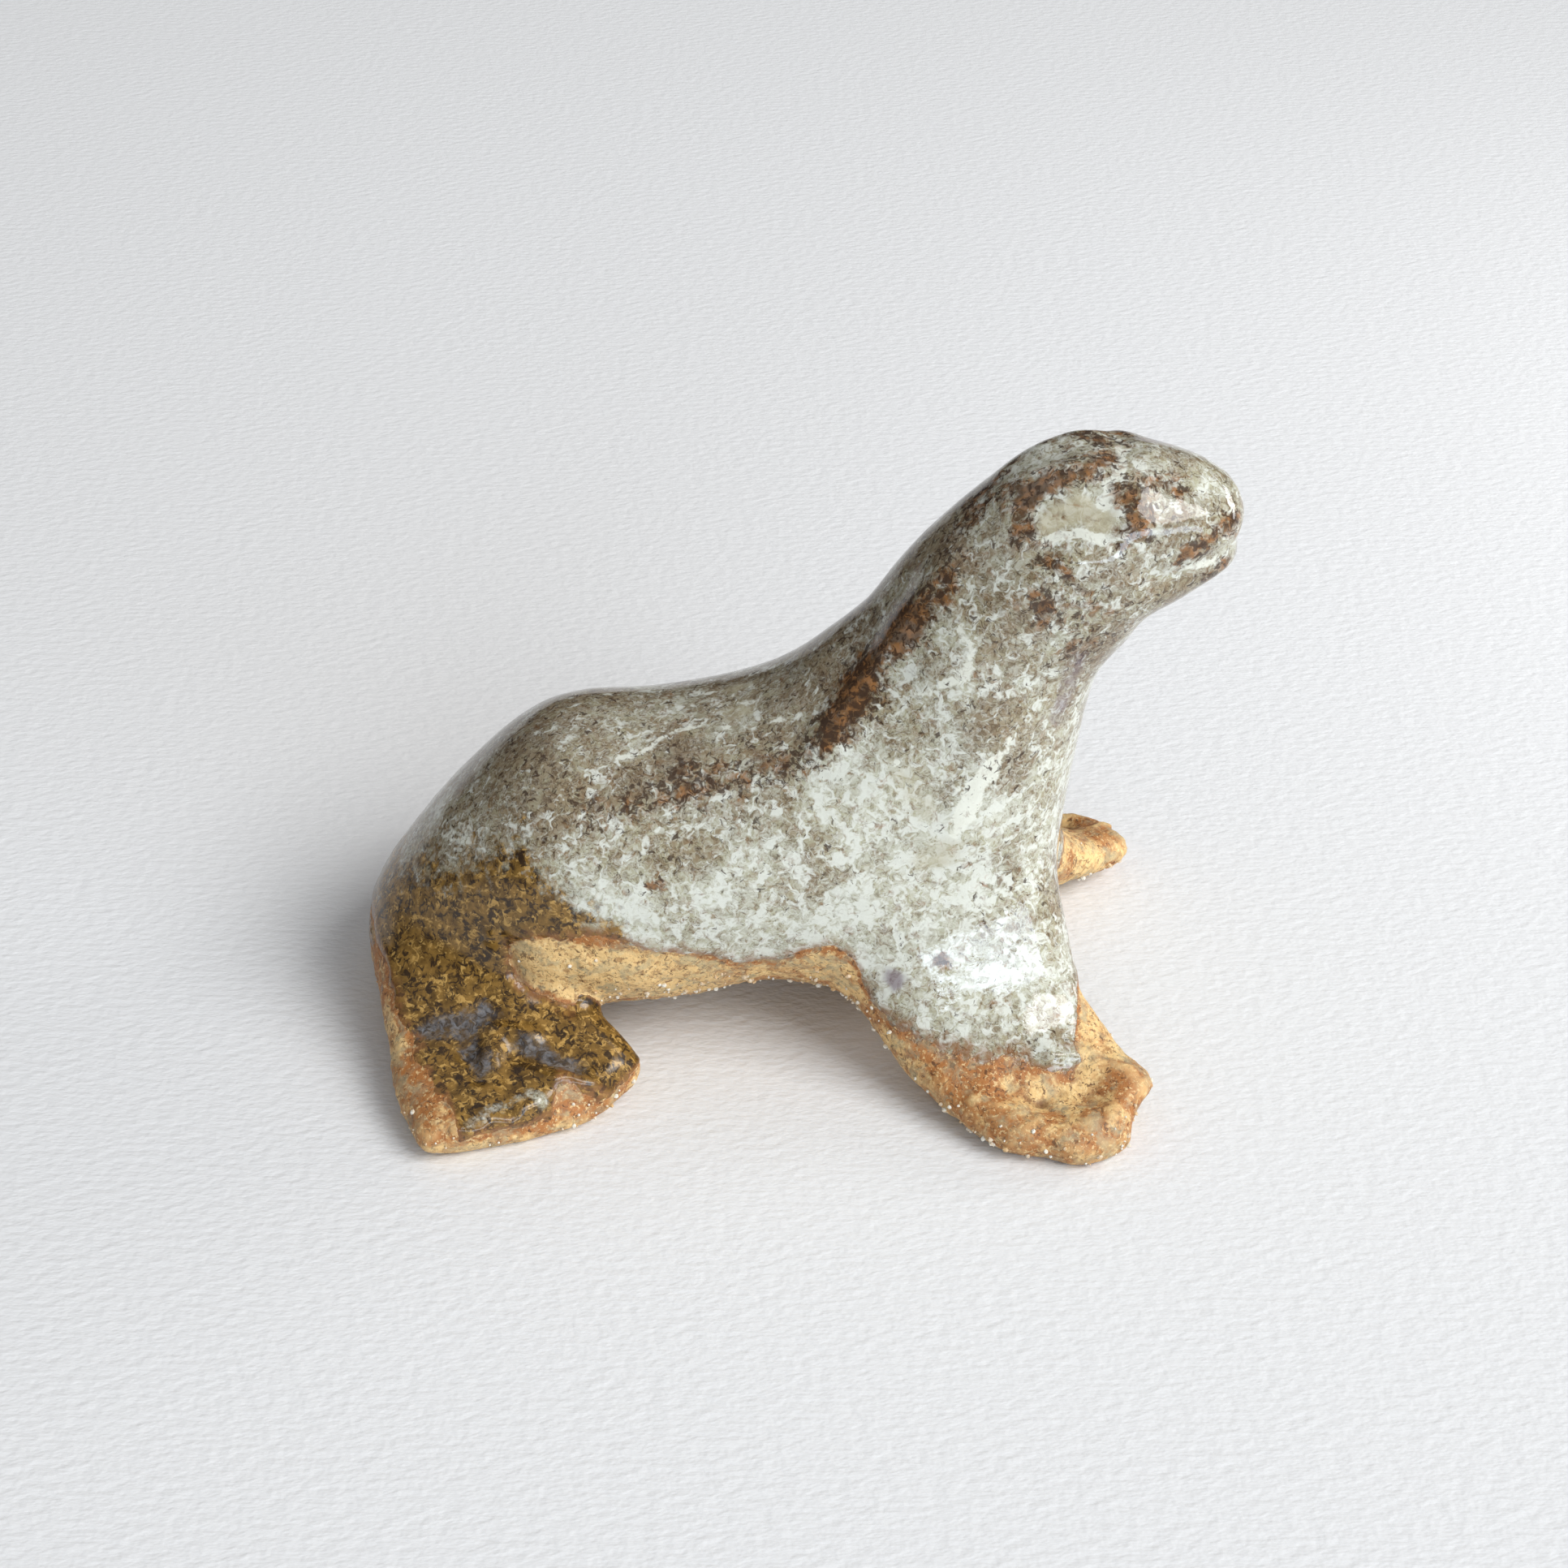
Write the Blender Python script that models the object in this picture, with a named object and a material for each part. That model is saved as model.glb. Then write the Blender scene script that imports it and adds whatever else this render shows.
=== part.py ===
"""Sea lion figurine: a small stoneware animal, modelled by hand and fired in one piece.

The animal faces +X, its left side is +Y, and it stands on the floor z = 0.
The solid is made as a clay modeller would make it: a body and four flippers are lofted,
joined into one skin, smoothed at the joins, marked with a tool and rubbed flat underneath.
"""

from collections import namedtuple

import bmesh
import bpy
import numpy as np

MM = 0.001
RIGHT, LEFT = -1, 1

# The body's sections, counted from the tail.
TAIL, RUMP, HIP, WAIST, BACK, SHOULDER, CHEST, THROAT, NECK, NAPE, CROWN, MUZZLE, NOSE = range(13)

# The whole animal. The span runs from the middle plane to the tips of the front flippers.
LENGTH = 51.7 * MM
HEIGHT = 38.0 * MM
HALF_SPAN = 18.3 * MM

# Body sections from the tail to the nose. The middle of a section lies so far along the
# animal, from 0 at the tail's end to 1 at the nose's, and so far up its height. Its thickness
# runs along the section, which leans back from upright where the neck rises.
TAIL_ALONG = 0.026
TAIL_UP = 0.118
TAIL_THICKNESS = 8.4 * MM
TAIL_WIDTH = 10.0 * MM
TAIL_BULGE = 1.5 * MM
RUMP_ALONG = 0.123
RUMP_UP = 0.203
RUMP_THICKNESS = 14.6 * MM
RUMP_WIDTH = 14.0 * MM
HIP_ALONG = 0.229
HIP_UP = 0.266
HIP_THICKNESS = 18.8 * MM
HIP_WIDTH = 18.0 * MM
WAIST_ALONG = 0.365
WAIST_UP = 0.284
WAIST_THICKNESS = 19.0 * MM
WAIST_WIDTH = 18.8 * MM
BACK_ALONG = 0.481
BACK_UP = 0.321
BACK_LEAN = 4
BACK_THICKNESS = 19.0 * MM
BACK_WIDTH = 18.4 * MM
SHOULDER_ALONG = 0.597
SHOULDER_UP = 0.337
SHOULDER_LEAN = 15
SHOULDER_THICKNESS = 23.7 * MM
SHOULDER_WIDTH = 17.6 * MM
CHEST_ALONG = 0.697
CHEST_UP = 0.456
CHEST_LEAN = 30
CHEST_THICKNESS = 22.1 * MM
CHEST_WIDTH = 15.6 * MM
THROAT_ALONG = 0.726
THROAT_UP = 0.604
THROAT_LEAN = 43
THROAT_THICKNESS = 16.5 * MM
THROAT_WIDTH = 13.8 * MM
NECK_ALONG = 0.753
NECK_UP = 0.721
NECK_LEAN = 53
NECK_THICKNESS = 13.1 * MM
NECK_WIDTH = 12.6 * MM
NAPE_ALONG = 0.808
NAPE_UP = 0.808
NAPE_LEAN = 46
NAPE_THICKNESS = 12.2 * MM
NAPE_WIDTH = 12.2 * MM
CROWN_ALONG = 0.860
CROWN_UP = 0.861
CROWN_LEAN = 20
CROWN_THICKNESS = 11.2 * MM
CROWN_WIDTH = 11.8 * MM
MUZZLE_ALONG = 0.937
MUZZLE_UP = 0.863
MUZZLE_THICKNESS = 8.4 * MM
MUZZLE_WIDTH = 8.9 * MM
NOSE_ALONG = 0.980
NOSE_UP = 0.870
NOSE_THICKNESS = 6.0 * MM
NOSE_WIDTH = 6.3 * MM
NOSE_BULGE = 1.3 * MM

# Flippers are lofted over ribs. A rib joins a point on the trailing edge to one on the
# leading edge. Points are shares too: along the length, out over the half span, up the height.
Point = namedtuple("Point", "along out up")
Rib = namedtuple("Rib", "aft fore thickness")

FRONT_ROOT_THICKNESS = 9.0 * MM
FRONT_ARM_THICKNESS = 7.5 * MM
FRONT_WRIST_THICKNESS = 5.6 * MM
FRONT_PALM_THICKNESS = 3.8 * MM
FRONT_TIP_THICKNESS = 3.5 * MM
ARM_ROOT = Point(0.519, 0.191, 0.289)
BREAST_ROOT = Point(0.780, 0.082, 0.382)
ARMPIT = Point(0.572, 0.426, 0.136)
BREAST = Point(0.833, 0.251, 0.247)
HEEL = Point(0.618, 0.590, 0.074)
WRIST = Point(0.850, 0.404, 0.137)
PALM_EDGE = Point(0.678, 0.781, 0.042)
THUMB_SIDE = Point(0.891, 0.557, 0.082)
TIP_EDGE = Point(0.744, 0.945, 0.029)
THUMB = Point(0.918, 0.699, 0.053)
PADDLE_END = Point(0.798, 0.956, 0.029)
THUMB_END = Point(0.895, 0.831, 0.034)

HIND_ROOT_THICKNESS = 8.0 * MM
HIND_STEM_THICKNESS = 6.4 * MM
HIND_FAN_THICKNESS = 4.2 * MM
HIND_EDGE_THICKNESS = 4.0 * MM
TAIL_SIDE = Point(0.074, 0.055, 0.142)
THIGH_ROOT = Point(0.262, 0.219, 0.205)
ANKLE = Point(0.018, 0.273, 0.105)
THIGH = Point(0.275, 0.404, 0.112)
HEEL_BONE = Point(0.038, 0.530, 0.071)
FAN_CORNER = Point(0.314, 0.503, 0.087)
FAN_REAR = Point(0.057, 0.754, 0.045)
FAN_FRONT = Point(0.345, 0.601, 0.050)
FAN_REAR_END = Point(0.082, 0.896, 0.039)
FAN_FRONT_END = Point(0.316, 0.678, 0.039)

# How round each cross-section is: 2 is an ellipse, and more is squarer.
BODY_SQUARENESS = 2.1
FLIPPER_SQUARENESS = 2.5

# The left front flipper lies a little further forward and closer in than the right one.
STILL = Point(0, 0, 0)
LEFT_SWAY = Point(0.019, -0.115, 0)

# Marks of the fingers and the tools. Each has the radius of what made it, and a lift in shares
# of that radius, negative where it is pressed in. Places on the body count the sections along
# it and the degrees around it from the back; places on a flipper count its ribs and run across
# it from the aft to the fore edge.
Mark = namedtuple("Mark", "tip lift places")
THUMB_TIP = 1.8 * MM
FINGER_TIP = 1.4 * MM
LITTLE_TIP = 1.0 * MM
STICK_TIP = 0.75 * MM
NEEDLE_TIP = 0.55 * MM
BROW = Mark(LITTLE_TIP, 0.28, (
    (NAPE + 0.2, 10), (NAPE + 0.6, 15), (CROWN + 0.05, 20), (CROWN + 0.25, 25),
))
EYE_HOLLOW = Mark(THUMB_TIP, -0.31, ((NAPE + 0.6, 48), (NAPE + 0.95, 48)))
MUZZLE_CREASE = Mark(NEEDLE_TIP, -0.58, (
    (CROWN + 0.35, 10), (CROWN + 0.2, 30), (CROWN + 0.03, 43),
))
CHEEK_CREASE = Mark(NEEDLE_TIP, -0.45, (
    (NAPE + 0.3, 54), (NAPE + 0.55, 57), (NAPE + 0.8, 61), (CROWN + 0.05, 70),
))
CHEEK = Mark(LITTLE_TIP, 0.20, ((NAPE + 0.2, 66), (NAPE + 0.45, 68)))
WHISKER_PAD = Mark(THUMB_TIP, 0.19, ((CROWN + 0.9, 58), (MUZZLE + 0.3, 62)))
NOSE_RIDGE = Mark(LITTLE_TIP, 0.20, ((CROWN + 0.4, 34), (CROWN + 0.35, 56)))
NECK_RIDGE = Mark(LITTLE_TIP, 0.40, (
    (NECK + 0.3, 30), (THROAT + 0.1, 30), (SHOULDER + 0.8, 30), (SHOULDER + 0.35, 35), (BACK + 0.9, 39),
))
NECK_VALLEY = Mark(FINGER_TIP, -0.21, (
    (THROAT + 0.5, 14), (CHEST + 0.5, 12), (SHOULDER + 0.6, 18), (BACK + 0.6, 29),
))
FLANK_RIDGE = Mark(THUMB_TIP, 0.12, (
    (BACK + 0.7, 37), (BACK, 38), (WAIST + 0.3, 32), (HIP + 0.8, 40),
))
BREAST_RIDGE = Mark(THUMB_TIP, 0.19, ((THROAT + 0.2, 90), (CHEST + 0.5, 91), (CHEST, 92)))
FACE_MARKS = (
    BROW, EYE_HOLLOW, MUZZLE_CREASE, CHEEK_CREASE, CHEEK, WHISKER_PAD, NOSE_RIDGE, BREAST_RIDGE,
)
RIGHT_SIDE_MARKS = (NECK_RIDGE, NECK_VALLEY, FLANK_RIDGE)
MOUTH = Mark(NEEDLE_TIP, -0.91, (
    (CROWN + 0.6, 100), (MUZZLE, 98), (MUZZLE + 0.5, 96), (NOSE, 94),
))
UPPER_LIP = Mark(STICK_TIP, 0.33, (
    (CROWN + 0.7, 88), (MUZZLE, 83), (MUZZLE + 0.6, 78), (NOSE, 74),
))
LOWER_LIP = Mark(NEEDLE_TIP, 0.36, ((MUZZLE + 0.6, 122), (NOSE, 118)))
MOUTH_MARKS = (MOUTH, UPPER_LIP, LOWER_LIP)

PADDLE_DISH = Mark(THUMB_TIP, -0.19, ((2.5, 0.12), (3.1, 0.24), (3.6, 0.42), (3.8, 0.62)))
THUMB_DENT = Mark(THUMB_TIP, -0.28, ((4.1, 0.36), (4.3, 0.5)))
PADDLE_RIM = Mark(STICK_TIP, 0.43, ((3.6, 0.86), (4.2, 0.9), (4.8, 0.84), (5.0, 0.6)))
THUMB_NUB = Mark(STICK_TIP, 0.80, ((3.9, 0.98), (4.05, 0.98)))
FRONT_MARKS = (PADDLE_DISH, THUMB_DENT, PADDLE_RIM, THUMB_NUB)
REAR_RAY = Mark(STICK_TIP, -0.37, ((2.2, 0.36), (3.0, 0.28), (3.9, 0.22)))
MIDDLE_RAY = Mark(STICK_TIP, -0.43, ((2.2, 0.48), (3.0, 0.47), (4.0, 0.45)))
FRONT_RAY = Mark(STICK_TIP, -0.43, ((2.2, 0.6), (2.8, 0.68), (3.4, 0.8)))
FAN_NOTCH = Mark(FINGER_TIP, -0.71, ((5.0, 0.62), (5.1, 0.8)))
FAN_LIP = Mark(STICK_TIP, 0.33, ((3.7, 0.68), (3.9, 0.88)))
HIND_MARKS = (REAR_RAY, MIDDLE_RAY, FRONT_RAY, FAN_NOTCH, FAN_LIP)

# How the clay is worked once the limbs are on.
SKIN_GRID = 0.35 * MM
SMOOTHING = 0.5
FRONT_JOIN_RADIUS = 6.0 * MM
HIND_JOIN_RADIUS = 4.5 * MM
HIND_JOIN_REACH = 0.5
JOIN_RIB = 0.7
JOIN_STRENGTH = 1.4
JOIN_PASSES = 120
FINGER_PASSES = 8
SPONGE_PASSES = 2
SOLE_DEPTH = 0.06 * MM
FACES_KEPT = 11400
RING_POINTS = 48
LOFT_STEPS = 72
CAP_ANGLES = (25, 45, 62, 76)

GLAZE_COLOUR = (0.42, 0.39, 0.33, 1.0)
GLAZE_ROUGHNESS = 0.15


def clear_scene():
    """Empty the file's scene."""
    for old in list(bpy.data.objects):
        bpy.data.objects.remove(old, do_unlink=True)


def curve_at(rows, along):
    """A Catmull-Rom curve through the rows, where along counts the rows from zero."""
    rows = np.asarray(rows, float)
    along = np.atleast_1d(np.asarray(along, float))
    padded = np.vstack([2 * rows[0] - rows[1], rows, 2 * rows[-1] - rows[-2]])
    first = np.clip(along.astype(int), 0, len(rows) - 2)
    t = (along - first)[:, None]
    before, start, end, after = (padded[first + k] for k in range(4))
    slope = end - before
    bend = 2 * before - 5 * start + 4 * end - after
    twist = 3 * start - 3 * end + after - before
    return start + t * (slope + t * (bend + t * twist)) / 2


def unit(vectors):
    """The vectors, each scaled to length 1."""
    return vectors / np.linalg.norm(vectors, axis=-1, keepdims=True)


def with_round_end(aft, fore, thickness, bulge):
    """The ribs, continued past the last one by a rounded end of the given depth."""
    middle = (aft + fore) / 2
    outward = unit(middle[-1] - middle[-2])
    across = unit(fore[-1] - aft[-1])
    half_chord = np.linalg.norm(fore[-1] - aft[-1]) / 2
    rounding = min(thickness[-1] / 2, half_chord)
    angles = np.radians(CAP_ANGLES)[:, None]
    centres = middle[-1] + outward * bulge * np.sin(angles)
    reaches = across * (half_chord - rounding * (1 - np.cos(angles)))
    aft = np.vstack([aft, centres - reaches])
    fore = np.vstack([fore, centres + reaches])
    thickness = np.append(thickness, thickness[-1] * np.cos(angles))
    return aft, fore, thickness


def loft(name, aft, fore, thickness, squareness):
    """A closed skin over sections that span from the aft points to the fore points."""
    middle = (aft + fore) / 2
    along = unit(np.gradient(middle, axis=0))
    across = unit(fore - aft)
    through = unit(np.cross(across, along))
    half_chord = np.linalg.norm(fore - aft, axis=1) / 2
    turn = np.linspace(0, 2 * np.pi, RING_POINTS, endpoint=False)
    wide = np.sign(np.cos(turn)) * np.abs(np.cos(turn)) ** (2 / squareness)
    high = np.sign(np.sin(turn)) * np.abs(np.sin(turn)) ** (2 / squareness)
    rings = middle[:, None] \
        + (across * half_chord[:, None])[:, None] * wide[None, :, None] \
        + (through * thickness[:, None] / 2)[:, None] * high[None, :, None]
    skin = bmesh.new()
    loops = [[skin.verts.new(point) for point in ring] for ring in rings]
    for near, far in zip(loops, loops[1:]):
        for k in range(RING_POINTS):
            after = (k + 1) % RING_POINTS
            skin.faces.new((near[k], near[after], far[after], far[k]))
    skin.faces.new(loops[0])
    skin.faces.new(loops[-1])
    bmesh.ops.recalc_face_normals(skin, faces=skin.faces)
    mesh = bpy.data.meshes.new(name)
    skin.to_mesh(mesh)
    skin.free()
    made = bpy.data.objects.new(name, mesh)
    bpy.context.scene.collection.objects.link(made)
    return made


def placed(shares):
    """Real places of points that are given as shares along the length, out and up."""
    return (shares - [0.5, 0, 0]) * [LENGTH, HALF_SPAN, HEIGHT]


def body_sections(along):
    """Low and top points of the body's sections, and their widths. Along counts from the tail."""
    rows = (
        (TAIL_ALONG, TAIL_UP, 0, TAIL_THICKNESS, TAIL_WIDTH),
        (RUMP_ALONG, RUMP_UP, 0, RUMP_THICKNESS, RUMP_WIDTH),
        (HIP_ALONG, HIP_UP, 0, HIP_THICKNESS, HIP_WIDTH),
        (WAIST_ALONG, WAIST_UP, 0, WAIST_THICKNESS, WAIST_WIDTH),
        (BACK_ALONG, BACK_UP, BACK_LEAN, BACK_THICKNESS, BACK_WIDTH),
        (SHOULDER_ALONG, SHOULDER_UP, SHOULDER_LEAN, SHOULDER_THICKNESS, SHOULDER_WIDTH),
        (CHEST_ALONG, CHEST_UP, CHEST_LEAN, CHEST_THICKNESS, CHEST_WIDTH),
        (THROAT_ALONG, THROAT_UP, THROAT_LEAN, THROAT_THICKNESS, THROAT_WIDTH),
        (NECK_ALONG, NECK_UP, NECK_LEAN, NECK_THICKNESS, NECK_WIDTH),
        (NAPE_ALONG, NAPE_UP, NAPE_LEAN, NAPE_THICKNESS, NAPE_WIDTH),
        (CROWN_ALONG, CROWN_UP, CROWN_LEAN, CROWN_THICKNESS, CROWN_WIDTH),
        (MUZZLE_ALONG, MUZZLE_UP, 0, MUZZLE_THICKNESS, MUZZLE_WIDTH),
        (NOSE_ALONG, NOSE_UP, 0, NOSE_THICKNESS, NOSE_WIDTH),
    )
    share, up, lean, thickness, width = curve_at(rows, along).T
    lean = np.radians(lean)
    level = np.zeros_like(share)
    middle = placed(np.stack([share, level, up], axis=1))
    half = np.stack([-np.sin(lean), level, np.cos(lean)], axis=1) * thickness[:, None] / 2
    return middle - half, middle + half, width


def body():
    """The head, neck and trunk: one sausage of clay, bent up at the shoulder."""
    low, top, width = body_sections(np.linspace(0, NOSE, LOFT_STEPS))
    low, top, width = with_round_end(low, top, width, NOSE_BULGE)
    low, top, width = with_round_end(low[::-1], top[::-1], width[::-1], TAIL_BULGE)
    return loft("body", low, top, width, BODY_SQUARENESS)


def on_body(side, along, around):
    """Points on the body's skin. Around runs from 0 on the back to 180 under the belly."""
    low, top, width = body_sections(along)
    around = np.radians(around)[:, None]
    sideways = np.array([0, side, 0]) * width[:, None] / 2
    return (top + low) / 2 + (top - low) / 2 * np.cos(around) + sideways * np.sin(around)


def flipper_edges(ribs, side, sway, along):
    """Aft and fore edge points of a flipper and its thickness. Along counts the ribs."""
    rows = [(*rib.aft, *rib.fore, rib.thickness) for rib in ribs]
    rows = curve_at(rows, along)
    drift = np.array(sway) * (np.atleast_1d(along) / (len(ribs) - 1))[:, None]
    facing = np.array([1, side, 1])
    aft, fore = placed(rows[:, 0:3] + drift), placed(rows[:, 3:6] + drift)
    return aft * facing, fore * facing, rows[:, 6]


def flipper(name, ribs, side, sway):
    """One flipper on the given side, lofted over its ribs and rounded at the end."""
    aft, fore, thickness = flipper_edges(ribs, side, sway, np.linspace(0, len(ribs) - 1, LOFT_STEPS))
    aft, fore, thickness = with_round_end(aft, fore, thickness, thickness[-1] / 2)
    return loft(name, aft, fore, thickness, FLIPPER_SQUARENESS)


def on_flipper(ribs, side, sway, along, across):
    """Points on a flipper's upper face. Across runs from 0 at the aft edge to 1 at the fore edge."""
    aft, fore, thickness = flipper_edges(ribs, side, sway, along)
    across = np.asarray(across, float)[:, None]
    rise = thickness[:, None] / 2 * np.sqrt(1 - (2 * across - 1) ** 2)
    return aft + (fore - aft) * across + rise * np.array([0, 0, 1])


def front_ribs():
    """An arm that comes out of the breast and turns out and forward into a broad paddle."""
    return (
        Rib(ARM_ROOT, BREAST_ROOT, FRONT_ROOT_THICKNESS),
        Rib(ARMPIT, BREAST, FRONT_ARM_THICKNESS),
        Rib(HEEL, WRIST, FRONT_WRIST_THICKNESS),
        Rib(PALM_EDGE, THUMB_SIDE, FRONT_PALM_THICKNESS),
        Rib(TIP_EDGE, THUMB, FRONT_TIP_THICKNESS),
        Rib(PADDLE_END, THUMB_END, FRONT_TIP_THICKNESS),
    )


def hind_ribs():
    """A flat fan that comes out from under the rump and turns forward."""
    return (
        Rib(TAIL_SIDE, THIGH_ROOT, HIND_ROOT_THICKNESS),
        Rib(ANKLE, THIGH, HIND_STEM_THICKNESS),
        Rib(HEEL_BONE, FAN_CORNER, HIND_FAN_THICKNESS),
        Rib(FAN_REAR, FAN_FRONT, HIND_EDGE_THICKNESS),
        Rib(FAN_REAR_END, FAN_FRONT_END, HIND_EDGE_THICKNESS),
    )


def joined_skin(whole, limbs):
    """One skin around the body and the limbs, on an even grid."""
    for limb in limbs:
        union = whole.modifiers.new(limb.name, "BOOLEAN")
        union.operation = "UNION"
        union.solver = "EXACT"
        union.object = limb
    skin = whole.modifiers.new("skin", "REMESH")
    skin.mode = "VOXEL"
    skin.voxel_size = SKIN_GRID
    evaluated = whole.evaluated_get(bpy.context.evaluated_depsgraph_get())
    mesh = bpy.data.meshes.new_from_object(evaluated)
    for helper in (whole, *limbs):
        bpy.data.objects.remove(helper, do_unlink=True)
    return mesh


def points_of(mesh):
    """The mesh's vertex positions as an array of rows."""
    points = np.empty(len(mesh.vertices) * 3, np.float32)
    mesh.vertices.foreach_get("co", points)
    return points.reshape(-1, 3).astype(float)


def place_vertices(mesh, points):
    """Move the mesh's vertices to the given points."""
    mesh.vertices.foreach_set("co", points.astype(np.float32).ravel())
    mesh.update()


def normals_of(mesh, points):
    """The outward vertex normals once the mesh's vertices are at the given points."""
    place_vertices(mesh, points)
    normals = np.empty(len(mesh.vertices) * 3, np.float32)
    mesh.vertices.foreach_get("normal", normals)
    return normals.reshape(-1, 3).astype(float)


def edges_of(mesh):
    """The mesh's edges as an array of vertex pairs."""
    edges = np.empty(len(mesh.edges) * 2, np.int32)
    mesh.edges.foreach_get("vertices", edges)
    return edges.reshape(-1, 2)


def smooth(points, edges, passes, strength):
    """Move each point toward the mean of its neighbours, further where strength is higher."""
    count = np.bincount(edges.ravel(), minlength=len(points))[:, None]
    for _ in range(passes):
        total = np.zeros_like(points)
        np.add.at(total, edges[:, 0], points[edges[:, 1]])
        np.add.at(total, edges[:, 1], points[edges[:, 0]])
        points = points + strength * (total / count - points)
    return points


def distance_to(points, path):
    """How far each point is from the nearest stretch of the path."""
    nearest = np.full(len(points), np.inf)
    for start, end in zip(path, path[1:]):
        run = end - start
        along = np.clip((points - start) @ run / (run @ run), 0, 1)
        gap = np.linalg.norm(points - start - along[:, None] * run, axis=1)
        nearest = np.minimum(nearest, gap)
    return nearest


def falloff(points, path, radius):
    """1 on the path, fading like a bell curve with the given radius."""
    return np.exp(-(distance_to(points, path) / radius) ** 2)[:, None]


def smooth_joins(points, edges):
    """Draw the clay of the limbs into the body, where a thumb would have worked it."""
    joins = []
    for side in (RIGHT, LEFT):
        for ribs, radius, reach in (
            (front_ribs(), FRONT_JOIN_RADIUS, 1),
            (hind_ribs(), HIND_JOIN_RADIUS, HIND_JOIN_REACH),
        ):
            aft, fore, _ = flipper_edges(ribs, side, STILL, JOIN_RIB)
            path = aft[0], aft[0] + (fore[0] - aft[0]) * reach
            joins.append(falloff(points, path, radius))
    strength = np.clip(JOIN_STRENGTH * np.max(joins, axis=0), 0, 1)
    return smooth(points, edges, JOIN_PASSES, SMOOTHING * strength)


def press(mesh, points, path, mark):
    """Raise or press in a band along the path, square to the skin."""
    lift = mark.lift * mark.tip
    return points + normals_of(mesh, points) * falloff(points, path, mark.tip) * lift


def mark_clay(mesh, points):
    """Work the face, the ridges and the flippers' dents into the smooth skin."""
    for side, sway in ((RIGHT, STILL), (LEFT, LEFT_SWAY)):
        for mark in FACE_MARKS + (RIGHT_SIDE_MARKS if side == RIGHT else ()):
            along, around = np.transpose(mark.places)
            points = press(mesh, points, on_body(side, along, around), mark)
        for ribs, drift, marks in ((front_ribs(), sway, FRONT_MARKS), (hind_ribs(), STILL, HIND_MARKS)):
            for mark in marks:
                along, across = np.transpose(mark.places)
                points = press(mesh, points, on_flipper(ribs, side, drift, along, across), mark)
    for mark in MOUTH_MARKS:
        along, around = np.transpose(mark.places)
        right, left = on_body(RIGHT, along, around), on_body(LEFT, along, around)
        front = (right[-1:] + left[-1:]) / 2 + np.array([NOSE_BULGE, 0, 0])
        points = press(mesh, points, np.vstack([right, front, left[::-1]]), mark)
    return points


def rub_flat(points, depth):
    """Rub the underside flat on the bench: what lies lower than the depth ends up on z = 0."""
    points = points.copy()
    points[:, 2] = np.where(points[:, 2] < depth, 0, points[:, 2])
    return points


def centred(points):
    """The points, moved so that the middle of their footprint is the origin."""
    points = points.copy()
    points[:, :2] -= (points[:, :2].min(axis=0) + points[:, :2].max(axis=0)) / 2
    return points


def thinned(mesh):
    """The mesh as an object, with no more faces than its shape needs."""
    made = bpy.data.objects.new("fine_clay", mesh)
    bpy.context.scene.collection.objects.link(made)
    mesh.calc_loop_triangles()
    thin = made.modifiers.new("thin", "DECIMATE")
    thin.ratio = FACES_KEPT / len(mesh.loop_triangles)
    evaluated = made.evaluated_get(bpy.context.evaluated_depsgraph_get())
    thin_mesh = bpy.data.meshes.new_from_object(evaluated)
    bpy.data.objects.remove(made, do_unlink=True)
    return thin_mesh


def glazed():
    """The figurine's plain colour and gloss."""
    material = bpy.data.materials.new("speckled_glaze")
    material.use_nodes = True
    shader = material.node_tree.nodes["Principled BSDF"]
    shader.inputs["Base Color"].default_value = GLAZE_COLOUR
    shader.inputs["Roughness"].default_value = GLAZE_ROUGHNESS
    shader.inputs["Metallic"].default_value = 0.0
    return material


def build():
    """Model the figurine as one object."""
    clear_scene()
    limbs = []
    for side, sway, name in ((RIGHT, STILL, "right"), (LEFT, LEFT_SWAY, "left")):
        limbs.append(flipper("front_" + name, front_ribs(), side, sway))
        limbs.append(flipper("hind_" + name, hind_ribs(), side, STILL))
    mesh = joined_skin(body(), limbs)
    points, edges = points_of(mesh), edges_of(mesh)
    points = smooth_joins(points, edges)
    points = smooth(points, edges, FINGER_PASSES, SMOOTHING)
    points = mark_clay(mesh, points)
    points = smooth(points, edges, SPONGE_PASSES, SMOOTHING)
    place_vertices(mesh, rub_flat(points, 0))
    mesh = thinned(mesh)
    place_vertices(mesh, centred(rub_flat(points_of(mesh), SOLE_DEPTH)))
    figurine = bpy.data.objects.new("seal_figurine", mesh)
    figurine.data.materials.append(glazed())
    figurine.data.shade_smooth()
    bpy.context.scene.collection.objects.link(figurine)


build()
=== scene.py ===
"""Looks of the sea lion figurine: a hand-modelled stoneware animal, dipped in a speckled glaze.

The camera comes first, then the figurine's one skin with its finger marks, its glaze and its
bare clay, then the grit that stuck to the clay, and last the floor and the light.
"""

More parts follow.
